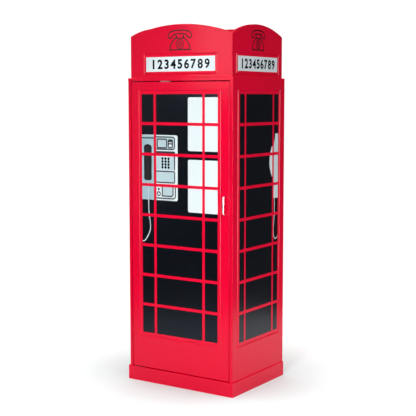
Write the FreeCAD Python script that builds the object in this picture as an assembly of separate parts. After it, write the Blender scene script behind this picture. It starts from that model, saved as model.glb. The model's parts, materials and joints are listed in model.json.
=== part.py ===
import FreeCAD, Part

import math
import os

from FreeCAD import Vector

# Telephone booth cabinet: a free-standing storage cabinet of lacquered fibreboard, shaped like a telephone
# booth.
#
# Frame: millimetres, +Z up. The origin is on the floor at the middle of the cabinet, and the door faces -Y.
# The carcass is a pair of side panels on a plinth, with a bottom, four shelves, a thin back and a top panel.
# An arched header box stands on the top panel. One inset door turns on two hidden pin pivots at its left.
# The printed window panels and sign panels are thin sheets let into the boards. The bevel of each sheet and
# the bevel of its recess make the V-groove that frames it.

# ---- driving dimensions -----------------------------------------------------------------------------------
BODY_WIDTH = 484.0
BODY_DEPTH = 384.0
PLINTH_HEIGHT = 55.0
BODY_TOP = 1200.0        # top face of the top panel
HEADER_HEIGHT = 160.0    # from the top panel to where the arches start
ARCH_RISE = 40.0

BOARD = 12.0             # side panels, bottom, top, shelves and header boards
DOOR_THICKNESS = 15.0
BACK_THICKNESS = 3.0
ROOF_THICKNESS = 9.0
ROOF_DROP = 12.0         # roof panel below the arches' ends
PLINTH_PROJECTION = 5.0
RAIL_LEDGE = 1.0         # plinth rail under the bottom panel's edges
HEADER_INSET = 8.0
EDGE_ROUND = 1.5         # softened lacquered edges

DOOR_SIDE_GAP = 3.0
DOOR_TOP_GAP = 3.5
DOOR_BOTTOM_GAP = 3.0

# printed window panels and sign panels
INLAY_THICKNESS = 3.0
INLAY_BEVEL = 2.0
INLAY_FIT = 0.1          # glue gap all round
WINDOW_BORDER_SIDE = 53.0      # door face edge line to the groove, measured from the body's side
SIDE_WINDOW_BORDER = 36.0      # the same on the side panels
WINDOW_BOTTOM = 185.0
WINDOW_TOP_BORDER = 37.0       # below the top panel
SIGN_BOTTOM_BORDER = 14.0      # above the top panel
SIGN_HEIGHT = 74.0
FRONT_SIGN_BORDER = 66.0       # from the header's side
SIDE_SIGN_BORDER = 28.0

# shelves
SHELF_COUNT = 4
SHELF_SIDE_CLEARANCE = 2.0
SHELF_SETBACK = 6.0      # behind the closed door, clear of its hinge edge as it turns
SHELF_BACK_CLEARANCE = 1.0
PIN_RADIUS = 2.5
PIN_DEPTH = 6.0
PIN_STUB = 8.0
PIN_COLLAR_RADIUS = 3.75
PIN_COLLAR = 1.5
PIN_INSET = 60.0         # from the body's front and back faces

# door pivots
PIVOT_FROM_EDGE = 9.5    # pin axis to the door's hinge edge
PIVOT_FROM_FACE = 6.5    # pin axis to the door's front face
PIVOT_RADIUS = 2.5
PIVOT_FIT = 0.05         # running clearance on radius
PIVOT_REACH = 8.0        # pin length inside the door
PLATE_LENGTH = 50.0
PLATE_WIDTH = 9.0
PLATE_THICKNESS = 2.0
WASHER_RADIUS = 4.5
WASHER_SLACK = 0.1
PIVOT_HOLE_CLEARANCE = 0.5
PIVOT_HOLE_SLACK = 2.0   # hole left beyond the pin's end
PLATE_SCREW_SHARES = (0.4, 0.75)   # along the plate, from the pin
DOOR_SCREW_LENGTH = 14.0
FRAME_SCREW_COVER = 2.0

# handle
HANDLE_SPACING = 64.0
HANDLE_RADIUS = 4.0
HANDLE_STANDOFF = 21.0   # door face to the grip's centre line
HANDLE_BEND = 9.0
HANDLE_FROM_EDGE = 13.0
HANDLE_HEIGHT = 727.0
HANDLE_THREAD = 2.0
HANDLE_THREAD_DEPTH = 10.0

HANDLE_SCREW_HEAD = 2.4
HANDLE_SCREW_SLACK = 1.0       # thread hole left beyond the screw's tip

# magnetic catch
CATCH_MIDDLE = -79.0     # from the cabinet's middle, on the hinge side
CATCH_LENGTH = 40.0
CATCH_WIDTH = 16.0
CATCH_HEIGHT = 12.0
CATCH_WALL = 2.0
CATCH_SCREW_INSET = 5.0
MAGNET_HALF = 9.0
POLE_THICKNESS = 1.5
POLE_PROUD = 0.7
STRIKE_LENGTH = 34.0
STRIKE_HEIGHT = 10.0
STRIKE_THICKNESS = 1.0
STRIKE_SCREW_INSET = 4.0
STRIKE_SCREW_HEAD = 2.4
STRIKE_SCREW_LENGTH = 10.0
CATCH_GAP = 0.3

# fixings
DOWEL_RADIUS = 3.0
DOWEL_LENGTH = 20.0
DOWEL_INSET = 45.0       # carcass dowels, from the front and back faces
HEADER_DOWEL_INSET = 90.0      # header dowels, from the header's corners
DOWEL_COVER = 3.0        # board left over a blind dowel hole
BACK_SCREW_INSET = 60.0
BACK_SCREW_ROWS = 5
BACK_SCREW_LENGTH = 16.0
SCREW_RADIUS = 1.5
SCREW_HEAD = 3.0
SCREW_HEAD_DEPTH = 1.8
LONG_SCREW_RADIUS = 2.0
LONG_SCREW_HEAD = 4.0
LONG_SCREW_HEAD_DEPTH = 2.4
HEADER_SCREW_LENGTH = 40.0
SCREW_COVER = 3.0        # board left beyond a screw's tip
RAIL_SCREW_COVER = 5.0
LOW_SCREW_SHARE = 0.3    # heights of the corner screws, as shares of the plinth's height
HIGH_SCREW_SHARE = 0.65
BLOCK = 28.0             # square corner blocks
CLEAT = 15.0
PAD_RADIUS = 4.0
PAD_GAP = 0.3
PAD_INSET = 30.0         # from the side panel at the handle's side
PAD_SPACING = 300.0

# ---- derived places ---------------------------------------------------------------------------------------
SIDE = BODY_WIDTH / 2
FRONT = -BODY_DEPTH / 2
REAR = BODY_DEPTH / 2
INNER_SIDE = SIDE - BOARD
TOP_UNDERSIDE = BODY_TOP - BOARD
FLOOR_TOP = PLINTH_HEIGHT + BOARD

HEADER_CORNER = BODY_TOP + HEADER_HEIGHT

PLINTH_SIDE = SIDE + PLINTH_PROJECTION
PLINTH_FRONT = FRONT - PLINTH_PROJECTION
# the rails reach past the side panels, and past the door and the setback behind it
RAIL_THICKNESS = PLINTH_PROJECTION + max(BOARD, DOOR_THICKNESS + SHELF_SETBACK) + RAIL_LEDGE
RAIL_INNER_SIDE = PLINTH_SIDE - RAIL_THICKNESS
RAIL_INNER_FRONT = PLINTH_FRONT + RAIL_THICKNESS
RAIL_INNER_REAR = REAR - RAIL_THICKNESS

DOOR_LEFT = -INNER_SIDE + DOOR_SIDE_GAP
DOOR_RIGHT = INNER_SIDE - DOOR_SIDE_GAP
DOOR_BOTTOM = PLINTH_HEIGHT + DOOR_BOTTOM_GAP
DOOR_TOP = TOP_UNDERSIDE - DOOR_TOP_GAP
DOOR_BACK = FRONT + DOOR_THICKNESS

BACK_FACE = REAR - BACK_THICKNESS
BACK_REBATE = BOARD / 2

HEADER_SIDE = SIDE - HEADER_INSET
HEADER_FRONT = FRONT + HEADER_INSET
HEADER_REAR = REAR - HEADER_INSET
HEADER_INNER_SIDE = HEADER_SIDE - BOARD
HEADER_INNER_FRONT = HEADER_FRONT + BOARD
HEADER_INNER_REAR = HEADER_REAR - BOARD
ROOF_TOP = HEADER_CORNER - ROOF_DROP
ROOF_UNDERSIDE = ROOF_TOP - ROOF_THICKNESS

WINDOW_TOP = TOP_UNDERSIDE - WINDOW_TOP_BORDER
SIGN_BOTTOM = BODY_TOP + SIGN_BOTTOM_BORDER
SIGN_TOP = SIGN_BOTTOM + SIGN_HEIGHT

PIVOT_X = DOOR_LEFT + PIVOT_FROM_EDGE
PIVOT_Y = FRONT + PIVOT_FROM_FACE
HANDLE_X = DOOR_RIGHT - HANDLE_FROM_EDGE
GRIP_Y = FRONT - HANDLE_STANDOFF

SHELF_GAP = (TOP_UNDERSIDE - FLOOR_TOP - SHELF_COUNT * BOARD) / (SHELF_COUNT + 1)
SHELF_FRONT = DOOR_BACK + SHELF_SETBACK
PIN_ROWS = (FRONT + PIN_INSET, REAR - PIN_INSET)

UP = Vector(0, 0, 1)
DOWN = Vector(0, 0, -1)


# ---- shape helpers ----------------------------------------------------------------------------------------
def block(x_range, y_range, z_range):
    """A box between two values on each axis, in any order."""
    low = Vector(min(x_range), min(y_range), min(z_range))
    high = Vector(max(x_range), max(y_range), max(z_range))
    size = high - low
    return Part.makeBox(size.x, size.y, size.z, low)


def rod(radius, start, end):
    """A cylinder from one point to another."""
    way = end - start
    return Part.makeCylinder(radius, way.Length, start, way)


def round_edges(shape, radius, wanted):
    """Rounds the edges for which wanted(first point, last point) is true."""
    edges = [e for e in shape.Edges if wanted(e.Vertexes[0].Point, e.Vertexes[-1].Point)]
    return shape.makeFillet(radius, edges)


def on_plane(axis, value):
    """A test for an edge that lies in the plane where that coordinate has that value."""
    return lambda a, b: abs(getattr(a, axis) - value) < 1e-6 and abs(getattr(b, axis) - value) < 1e-6


def on_line(first, second):
    """A test for an edge that lies in both of two planes, each an (axis, value) pair."""
    tests = [on_plane(*first), on_plane(*second)]
    return lambda a, b: all(test(a, b) for test in tests)


def mitred_side(side, reach, y_range, thickness, z_range):
    """One side of an upright frame with mitred, softened corners. Side 0 is the front, then by turns."""
    corners = [(-reach, y_range[0]), (reach, y_range[0]), (reach, y_range[1]), (-reach, y_range[1])]
    inward = [(1, 1), (-1, 1), (-1, -1), (1, -1)]
    first, second = side, (side + 1) % 4

    def outer(i):
        return Vector(corners[i][0], corners[i][1], z_range[0])

    def inner(i):
        return outer(i) + Vector(inward[i][0] * thickness, inward[i][1] * thickness, 0)

    plan = Part.makePolygon([outer(first), outer(second), inner(second), inner(first), outer(first)])
    prism = Part.Face(plan).extrude(Vector(0, 0, z_range[1] - z_range[0]))
    envelope = block((-reach, reach), y_range, z_range)
    envelope = round_edges(envelope, EDGE_ROUND, lambda a, b: a.x == b.x and a.y == b.y)
    return prism.common(envelope)


def rectangle(u_range, v_range, n, grow):
    """A closed rectangle in a face's own frame, at height n over the face, grown on every side."""
    u0, u1 = u_range[0] - grow, u_range[1] + grow
    v0, v1 = v_range[0] - grow, v_range[1] + grow
    corners = [Vector(u0, v0, n), Vector(u1, v0, n), Vector(u1, v1, n), Vector(u0, v1, n), Vector(u0, v0, n)]
    return Part.makePolygon(corners)


def to_face(shape, along, normal, origin):
    """Moves a shape from a face's frame: its X runs along, its Y is up, and its Z is the face's normal."""
    matrix = FreeCAD.Matrix(
        along.x, UP.x, normal.x, origin.x,
        along.y, UP.y, normal.y, origin.y,
        along.z, UP.z, normal.z, origin.z,
        0, 0, 0, 1,
    )
    moved = shape.copy()
    moved.Placement = FreeCAD.Placement(matrix)
    return moved


FACES = {
    "front": (Vector(1, 0, 0), Vector(0, -1, 0)),
    "right": (Vector(0, 1, 0), Vector(1, 0, 0)),
    "left": (Vector(0, -1, 0), Vector(-1, 0, 0)),
}


def inlay(face, distance, half_width, v_range):
    """The sheet let into a face that stands that distance from the origin, and the cutter of its recess."""
    along, normal = FACES[face]
    u_range = (-half_width, half_width)
    height = v_range[1] - v_range[0]
    sheet_width = 2 * (half_width - INLAY_FIT)
    sheet_corner = Vector(-half_width + INLAY_FIT, v_range[0] + INLAY_FIT, -INLAY_THICKNESS)
    sheet = Part.makeBox(sheet_width, height - 2 * INLAY_FIT, INLAY_THICKNESS, sheet_corner)
    rim = [e for e in sheet.Edges if on_plane("z", 0.0)(e.Vertexes[0].Point, e.Vertexes[1].Point)]
    sheet = sheet.makeChamfer(INLAY_BEVEL, rim)
    pocket_corner = Vector(-half_width, v_range[0], -INLAY_THICKNESS)
    pocket = Part.makeBox(2 * half_width, height, INLAY_THICKNESS, pocket_corner)
    lower = rectangle(u_range, v_range, -INLAY_BEVEL, 0.0)
    upper = rectangle(u_range, v_range, INLAY_BEVEL, 2 * INLAY_BEVEL)
    funnel = Part.makeLoft([lower, upper], True, True)
    origin = normal * distance
    return to_face(sheet, along, normal, origin), to_face(pocket.fuse(funnel), along, normal, origin)


def countersunk_screw(head_centre, way, length, radius, head_radius, head_depth):
    """A flat-head screw. head_centre is on the surface, and way points to the tip."""
    head = Part.makeCone(head_radius, radius, head_depth, head_centre, way)
    shank = rod(radius, head_centre, head_centre + way * length)
    return head.fuse(shank)


def small_screw(head_centre, way, length):
    return countersunk_screw(head_centre, way, length, SCREW_RADIUS, SCREW_HEAD, SCREW_HEAD_DEPTH)


def long_screw(head_centre, way, length):
    return countersunk_screw(
        head_centre, way, length, LONG_SCREW_RADIUS, LONG_SCREW_HEAD, LONG_SCREW_HEAD_DEPTH
    )


def cut_all(shape, cutters):
    """The shape less every cutter."""
    for cutter in cutters:
        shape = shape.cut(cutter)
    return shape


# ---- fixings that several boards share --------------------------------------------------------------------
def carcass_dowels():
    """Dowels from the side panels into the bottom panel and the top panel."""
    dowels = []
    for y in (FRONT + DOWEL_INSET, 0.0, REAR - DOWEL_INSET):
        for sign in (-1, 1):
            outer = Vector(sign * (SIDE - BOARD / 3), y, PLINTH_HEIGHT + BOARD / 2)
            dowels.append(rod(DOWEL_RADIUS, outer, outer - Vector(sign * DOWEL_LENGTH, 0, 0)))
            upper = Vector(sign * (SIDE - BOARD / 2), y, BODY_TOP - BOARD / 4)
            dowels.append(rod(DOWEL_RADIUS, upper, upper + DOWN * DOWEL_LENGTH))
    return dowels


def header_dowels():
    """Upright dowels from the header boards into the top panel."""
    low = TOP_UNDERSIDE + DOWEL_COVER
    inset = BOARD / 2
    along = HEADER_SIDE - HEADER_DOWEL_INSET
    across = HEADER_REAR - HEADER_DOWEL_INSET
    places = []
    for sign in (-1, 1):
        places += [(sign * along, HEADER_FRONT + inset), (sign * along, HEADER_REAR - inset)]
        places += [(sign * (HEADER_SIDE - inset), -across), (sign * (HEADER_SIDE - inset), across)]
    return [rod(DOWEL_RADIUS, Vector(x, y, low), Vector(x, y, low + DOWEL_LENGTH)) for x, y in places]


def plinth_block_corners():
    """The middle of each corner block in the plinth, with the two ways to its rails."""
    corners = []
    for sx in (-1, 1):
        for sy, inner in ((-1, RAIL_INNER_FRONT), (1, RAIL_INNER_REAR)):
            corners.append((sx * (RAIL_INNER_SIDE - BLOCK / 2), inner - sy * BLOCK / 2, sx, sy))
    return corners


def plinth_screws():
    """Screws from each corner block into its two rails, one low and one high."""
    screws = []
    reach = BLOCK + RAIL_THICKNESS - RAIL_SCREW_COVER
    for x, y, sx, sy in plinth_block_corners():
        low = Vector(x - sx * BLOCK / 2, y, PLINTH_HEIGHT * LOW_SCREW_SHARE)
        high = Vector(x, y - sy * BLOCK / 2, PLINTH_HEIGHT * HIGH_SCREW_SHARE)
        screws.append(long_screw(low, Vector(sx, 0, 0), reach))
        screws.append(long_screw(high, Vector(0, sy, 0), reach))
    return screws


def base_screws():
    """Upright screws through the corner blocks into the bottom panel."""
    offset = BLOCK / 4
    screws = []
    for x, y, sx, sy in plinth_block_corners():
        foot = Vector(x - sx * offset, y - sy * offset, 0.0)
        screws.append(long_screw(foot, UP, PLINTH_HEIGHT + BOARD - SCREW_COVER))
    return screws


def header_block_places():
    """The middle of each corner block in the header box."""
    y_places = (HEADER_INNER_FRONT + BLOCK / 2, HEADER_INNER_REAR - BLOCK / 2)
    return [(sx * (HEADER_INNER_SIDE - BLOCK / 2), y) for sx in (-1, 1) for y in y_places]


def header_screws():
    """Screws up through the top panel into the header's corner blocks. Their heads show inside."""
    heads = [Vector(x, y, TOP_UNDERSIDE) for x, y in header_block_places()]
    return [long_screw(head, UP, HEADER_SCREW_LENGTH) for head in heads]


def back_screws():
    """Small screws that hold the thin back in its rebates."""
    screws = []
    span = TOP_UNDERSIDE - FLOOR_TOP - 2 * BACK_SCREW_INSET
    for row in range(BACK_SCREW_ROWS):
        z = FLOOR_TOP + BACK_SCREW_INSET + row * span / (BACK_SCREW_ROWS - 1)
        for sign in (-1, 1):
            edge = sign * (INNER_SIDE + BACK_REBATE / 2)
            screws.append(small_screw(Vector(edge, REAR, z), Vector(0, -1, 0), BACK_SCREW_LENGTH))
    return screws


def shelf_underside(number):
    """Height of the underside of a shelf, counted from 1 at the bottom."""
    return FLOOR_TOP + number * SHELF_GAP + (number - 1) * BOARD


def shelf_pins():
    """Collared pins, four under each shelf."""
    pins = []
    for number in range(1, SHELF_COUNT + 1):
        z = shelf_underside(number) - PIN_RADIUS
        for y in PIN_ROWS:
            for sign in (-1, 1):
                inward = Vector(-sign, 0, 0)
                wall = Vector(sign * INNER_SIDE, y, z)
                shaft = rod(PIN_RADIUS, wall - inward * PIN_DEPTH, wall + inward * PIN_STUB)
                collar = rod(PIN_COLLAR_RADIUS, wall, wall + inward * PIN_COLLAR)
                pins.append(shaft.fuse(collar))
    return pins


# ---- pivots -----------------------------------------------------------------------------------------------
def pivot_plate(mortise_floor, face):
    """A strip let into a board edge, from the mortise's floor to the flush face."""
    x_range = (PIVOT_X - PLATE_WIDTH / 2, PIVOT_X - PLATE_WIDTH / 2 + PLATE_LENGTH)
    y_range = (PIVOT_Y - PLATE_WIDTH / 2, PIVOT_Y + PLATE_WIDTH / 2)
    return block(x_range, y_range, (mortise_floor, face))


def pivot_screws(face, way, length):
    """The two screws of a pivot plate."""
    places = [PIVOT_X + PLATE_LENGTH * share for share in PLATE_SCREW_SHARES]
    return [small_screw(Vector(x, PIVOT_Y, face), way, length) for x in places]


def frame_pivot(face, to_door, gap):
    """The cabinet's half of a pivot: a plate with a fixed pin that crosses the gap into the door."""
    plate = pivot_plate(face - to_door.z * PLATE_THICKNESS, face)
    base = Vector(PIVOT_X, PIVOT_Y, face - to_door.z * PLATE_THICKNESS)
    pin = rod(PIVOT_RADIUS, base, base + to_door * (PLATE_THICKNESS + gap + PIVOT_REACH))
    return plate.fuse(pin)


def pivot_bore(face, away, depth, clearance):
    """The hole that a pivot pin turns in."""
    start = Vector(PIVOT_X, PIVOT_Y, face)
    return rod(PIVOT_RADIUS + clearance, start, start + away * depth)


def washer(bottom, height):
    """A nylon washer round the pin, between the two plates."""
    low = Vector(PIVOT_X, PIVOT_Y, bottom)
    ring = rod(WASHER_RADIUS, low, low + UP * height)
    return ring.cut(rod(PIVOT_RADIUS + PIVOT_FIT, low, low + UP * height))


TOP_FRAME_PIVOT_SCREWS = pivot_screws(TOP_UNDERSIDE, UP, BOARD - FRAME_SCREW_COVER)
LOW_FRAME_PIVOT_SCREWS = pivot_screws(PLINTH_HEIGHT, DOWN, DOOR_SCREW_LENGTH)
TOP_DOOR_PIVOT_SCREWS = pivot_screws(DOOR_TOP, DOWN, DOOR_SCREW_LENGTH)
LOW_DOOR_PIVOT_SCREWS = pivot_screws(DOOR_BOTTOM, UP, DOOR_SCREW_LENGTH)


# ---- catch ------------------------------------------------------------------------------------------------
CATCH_LEFT = CATCH_MIDDLE - CATCH_LENGTH / 2
CATCH_RIGHT = CATCH_MIDDLE + CATCH_LENGTH / 2
STRIKE_FACE = DOOR_BACK + STRIKE_THICKNESS
POLE_FRONT = STRIKE_FACE + CATCH_GAP
HOUSING_FRONT = POLE_FRONT + POLE_PROUD
CATCH_BOTTOM = TOP_UNDERSIDE - CATCH_HEIGHT


def catch_screws():
    """The two upright screws that hold the catch to the top panel."""
    y = HOUSING_FRONT + CATCH_WIDTH / 2
    ends = (CATCH_LEFT + CATCH_SCREW_INSET, CATCH_RIGHT - CATCH_SCREW_INSET)
    length = CATCH_HEIGHT + BOARD - SCREW_COVER
    return [small_screw(Vector(x, y, CATCH_BOTTOM), UP, length) for x in ends]


def catch_cavity():
    """The pocket in the housing's front for the magnet and its two pole plates."""
    depth = CATCH_WIDTH - CATCH_WALL
    x_range = (CATCH_MIDDLE - MAGNET_HALF, CATCH_MIDDLE + MAGNET_HALF)
    z_range = (CATCH_BOTTOM + CATCH_WALL, TOP_UNDERSIDE - CATCH_WALL)
    return block(x_range, (HOUSING_FRONT, HOUSING_FRONT + depth), z_range)


def catch_poles():
    """Two steel plates above and below the magnet, standing a little proud of the housing."""
    depth = CATCH_WIDTH - CATCH_WALL
    x_range = (CATCH_MIDDLE - MAGNET_HALF, CATCH_MIDDLE + MAGNET_HALF)
    y_range = (POLE_FRONT, HOUSING_FRONT + depth)
    low = CATCH_BOTTOM + CATCH_WALL
    high = TOP_UNDERSIDE - CATCH_WALL
    return [
        block(x_range, y_range, (low, low + POLE_THICKNESS)),
        block(x_range, y_range, (high - POLE_THICKNESS, high)),
    ]


def catch_magnet():
    """The magnet between the pole plates."""
    x_range = (CATCH_MIDDLE - MAGNET_HALF, CATCH_MIDDLE + MAGNET_HALF)
    z_range = (CATCH_BOTTOM + CATCH_WALL + POLE_THICKNESS, TOP_UNDERSIDE - CATCH_WALL - POLE_THICKNESS)
    return block(x_range, (HOUSING_FRONT, HOUSING_FRONT + CATCH_WIDTH - CATCH_WALL), z_range)


def strike_screws():
    """Two short screws through the strike plate into the door's back."""
    z = CATCH_BOTTOM + CATCH_HEIGHT / 2
    offset = STRIKE_LENGTH / 2 - STRIKE_SCREW_INSET
    heads = [Vector(CATCH_MIDDLE + sign * offset, STRIKE_FACE, z) for sign in (-1, 1)]
    sizes = (STRIKE_SCREW_LENGTH, SCREW_RADIUS, STRIKE_SCREW_HEAD, STRIKE_THICKNESS)
    return [countersunk_screw(head, Vector(0, -1, 0), *sizes) for head in heads]


# ---- handle -----------------------------------------------------------------------------------------------
def handle_ends():
    """Where the two legs of the handle meet the door."""
    return [Vector(HANDLE_X, FRONT, HANDLE_HEIGHT + sign * HANDLE_SPACING / 2) for sign in (-1, 1)]


def handle_bow():
    """A round bar bent to a bow, with a threaded hole up each leg."""
    low, high = handle_ends()
    bend = HANDLE_BEND
    lean = bend * (1 - math.sqrt(0.5))
    low_leg = Vector(HANDLE_X, GRIP_Y + bend, low.z)
    low_mid = Vector(HANDLE_X, GRIP_Y + lean, low.z + lean)
    low_grip = Vector(HANDLE_X, GRIP_Y, low.z + bend)
    high_grip = Vector(HANDLE_X, GRIP_Y, high.z - bend)
    high_mid = Vector(HANDLE_X, GRIP_Y + lean, high.z - lean)
    high_leg = Vector(HANDLE_X, GRIP_Y + bend, high.z)
    path = Part.Wire([
        Part.makeLine(low, low_leg),
        Part.Arc(low_leg, low_mid, low_grip).toShape(),
        Part.makeLine(low_grip, high_grip),
        Part.Arc(high_grip, high_mid, high_leg).toShape(),
        Part.makeLine(high_leg, high),
    ])
    section = Part.Face(Part.Wire(Part.makeCircle(HANDLE_RADIUS, low, Vector(0, -1, 0))))
    bow = path.makePipe(section)
    depth = Vector(0, -HANDLE_THREAD_DEPTH, 0)
    threads = [rod(HANDLE_THREAD + PIVOT_FIT, end, end + depth) for end in handle_ends()]
    return cut_all(bow, threads)


def handle_screws():
    """Pan-head screws from inside the door."""
    screws = []
    for end in handle_ends():
        back = Vector(end.x, DOOR_BACK, end.z)
        tip = Vector(end.x, FRONT - HANDLE_THREAD_DEPTH + HANDLE_SCREW_SLACK, end.z)
        head = rod(HANDLE_RADIUS, back, back + Vector(0, HANDLE_SCREW_HEAD, 0))
        screws.append(head.fuse(rod(HANDLE_THREAD, back, tip)))
    return screws


def bumper_pads():
    """Soft pads on the cabinet floor's front edge, just behind the closed door."""
    z = (DOOR_BOTTOM + FLOOR_TOP) / 2
    right = INNER_SIDE - PAD_INSET
    places = (right, right - PAD_SPACING)
    return [rod(PAD_RADIUS, Vector(x, SHELF_FRONT, z), Vector(x, DOOR_BACK + PAD_GAP, z)) for x in places]


# ---- boards -----------------------------------------------------------------------------------------------
def side_panel(face, pins, dowels, back_fixings):
    """A side panel and the printed sheet let into its outer face."""
    sign = 1 if face == "right" else -1
    outer = sign * SIDE
    panel = block((outer, sign * INNER_SIDE), (FRONT, REAR), (PLINTH_HEIGHT, TOP_UNDERSIDE))
    panel = round_edges(panel, EDGE_ROUND, on_line(("x", outer), ("y", FRONT)))
    rebate = block((sign * INNER_SIDE, sign * (INNER_SIDE + BACK_REBATE)), (BACK_FACE, REAR),
                   (PLINTH_HEIGHT, TOP_UNDERSIDE))
    sheet, recess = inlay(face, SIDE, BODY_DEPTH / 2 - SIDE_WINDOW_BORDER, (WINDOW_BOTTOM, WINDOW_TOP))
    return cut_all(panel, [rebate, recess] + pins + dowels + back_fixings), sheet


def bottom_panel(dowels, screws):
    """The cabinet's floor, behind the door's foot and between the side panels."""
    panel = block((-INNER_SIDE, INNER_SIDE), (SHELF_FRONT, BACK_FACE), (PLINTH_HEIGHT, FLOOR_TOP))
    return cut_all(panel, dowels + screws)


def top_panel(dowels, screws):
    """The board over the side panels. Its rim shows as a thin lip under the header."""
    panel = block((-SIDE, SIDE), (FRONT, REAR), (TOP_UNDERSIDE, BODY_TOP))
    panel = round_edges(panel, EDGE_ROUND, on_plane("z", BODY_TOP))
    return cut_all(panel, dowels + screws)


def back_panel(screws):
    """The thin back, in the side panels' rebates."""
    reach = INNER_SIDE + BACK_REBATE - INLAY_FIT
    panel = block((-reach, reach), (BACK_FACE, REAR), (PLINTH_HEIGHT, TOP_UNDERSIDE))
    return cut_all(panel, screws)


def shelf(number):
    """A loose shelf on four pins."""
    reach = INNER_SIDE - SHELF_SIDE_CLEARANCE
    low = shelf_underside(number)
    board = block((-reach, reach), (SHELF_FRONT, BACK_FACE - SHELF_BACK_CLEARANCE), (low, low + BOARD))
    return round_edges(board, EDGE_ROUND, lambda a, b: on_plane("y", SHELF_FRONT)(a, b) and a.z == b.z)


def arched_board(x_range, y_range, along_x):
    """An upright board with a segmental arch on top. Its first range value across is the outer face."""
    span = x_range if along_x else y_range
    across = y_range if along_x else x_range
    low, high = min(span), max(span)
    middle = (low + high) / 2

    def point(along, z):
        return Vector(along, across[0], z) if along_x else Vector(across[0], along, z)

    outline = Part.Wire([
        Part.makeLine(point(low, BODY_TOP), point(high, BODY_TOP)),
        Part.makeLine(point(high, BODY_TOP), point(high, HEADER_CORNER)),
        Part.Arc(
            point(high, HEADER_CORNER), point(middle, HEADER_CORNER + ARCH_RISE), point(low, HEADER_CORNER)
        ).toShape(),
        Part.makeLine(point(low, HEADER_CORNER), point(low, BODY_TOP)),
    ])
    thickness = across[1] - across[0]
    way = Vector(0, thickness, 0) if along_x else Vector(thickness, 0, 0)
    board = Part.Face(outline).extrude(way)
    arcs = [e for e in board.Edges if e.Curve.TypeId == "Part::GeomCircle"]
    return board.makeFillet(EDGE_ROUND, arcs)


def header_board(side, dowels):
    """One of the header's four arched boards, mitred to the next. Side 0 is the front, then by turns."""
    y_range = (HEADER_FRONT, HEADER_REAR)
    if side in (0, 2):
        outer, inner = (HEADER_FRONT, HEADER_INNER_FRONT) if side == 0 else (HEADER_REAR, HEADER_INNER_REAR)
        board = arched_board((-HEADER_SIDE, HEADER_SIDE), (outer, inner), True)
    else:
        sign = 1 if side == 1 else -1
        board = arched_board((sign * HEADER_SIDE, sign * HEADER_INNER_SIDE), y_range, False)
    plan = mitred_side(side, HEADER_SIDE, y_range, BOARD, (BODY_TOP, HEADER_CORNER + ARCH_RISE))
    return cut_all(board.common(plan), dowels)


def header_blocks(screws):
    """Upright glue blocks in the corners of the header box."""
    half = BLOCK / 2
    blocks = [
        block((x - half, x + half), (y - half, y + half), (BODY_TOP, ROOF_UNDERSIDE))
        for x, y in header_block_places()
    ]
    return [cut_all(piece, screws) for piece in blocks]


def roof_cleats():
    """Battens between the corner blocks that carry the roof panel."""
    z_range = (ROOF_UNDERSIDE - CLEAT, ROOF_UNDERSIDE)
    long_half = HEADER_INNER_SIDE - BLOCK
    short_range = (HEADER_INNER_FRONT + BLOCK, HEADER_INNER_REAR - BLOCK)
    return [
        block((-long_half, long_half), (HEADER_INNER_FRONT, HEADER_INNER_FRONT + CLEAT), z_range),
        block((-long_half, long_half), (HEADER_INNER_REAR, HEADER_INNER_REAR - CLEAT), z_range),
        block((HEADER_INNER_SIDE, HEADER_INNER_SIDE - CLEAT), short_range, z_range),
        block((-HEADER_INNER_SIDE, -HEADER_INNER_SIDE + CLEAT), short_range, z_range),
    ]


def roof_panel():
    """The flat dust cover between the arches."""
    x = HEADER_INNER_SIDE - INLAY_FIT
    y_range = (HEADER_INNER_FRONT + INLAY_FIT, HEADER_INNER_REAR - INLAY_FIT)
    return block((-x, x), y_range, (ROOF_UNDERSIDE, ROOF_TOP))


def plinth_rail(side, screws):
    """One of the plinth's four mitred rails. Side 0 is the front, then by turns."""
    reach = (PLINTH_FRONT, REAR)
    rail = mitred_side(side, PLINTH_SIDE, reach, RAIL_THICKNESS, (0, PLINTH_HEIGHT))
    return cut_all(rail, screws)


def front_rail(screws):
    """The front of the plinth, with the lower pivot's mortise in its top."""
    mortise = pivot_plate(PLINTH_HEIGHT - PLATE_THICKNESS, PLINTH_HEIGHT)
    return plinth_rail(0, [mortise] + LOW_FRAME_PIVOT_SCREWS + screws)


def centre_rail():
    """The rail under the middle of the cabinet's floor. The origin is on its foot."""
    half = RAIL_THICKNESS / 2
    return block((-half, half), (RAIL_INNER_FRONT, RAIL_INNER_REAR), (0, PLINTH_HEIGHT))


def plinth_blocks(screws):
    """Glue blocks in the plinth's corners."""
    half = BLOCK / 2
    blocks = [
        block((x - half, x + half), (y - half, y + half), (0, PLINTH_HEIGHT))
        for x, y, _, _ in plinth_block_corners()
    ]
    return [cut_all(piece, screws) for piece in blocks]


def door_board(recess):
    """The door: one board with softened front edges, cut for its printed sheet, pivots, handle and catch."""
    board = block((DOOR_LEFT, DOOR_RIGHT), (FRONT, DOOR_BACK), (DOOR_BOTTOM, DOOR_TOP))
    board = round_edges(board, EDGE_ROUND, on_plane("y", FRONT))
    mortises = [
        pivot_plate(DOOR_TOP - PLATE_THICKNESS, DOOR_TOP),
        pivot_plate(DOOR_BOTTOM, DOOR_BOTTOM + PLATE_THICKNESS),
    ]
    bore_depth = PIVOT_REACH + PIVOT_HOLE_SLACK
    bores = [
        pivot_bore(DOOR_TOP, DOWN, bore_depth, PIVOT_HOLE_CLEARANCE),
        pivot_bore(DOOR_BOTTOM, UP, bore_depth, PIVOT_HOLE_CLEARANCE),
    ]
    handle_holes = [rod(HANDLE_THREAD, end, Vector(end.x, DOOR_BACK, end.z)) for end in handle_ends()]
    cutters = [recess] + mortises + bores + handle_holes
    return cut_all(board, cutters + TOP_DOOR_PIVOT_SCREWS + LOW_DOOR_PIVOT_SCREWS + strike_screws())


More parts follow.
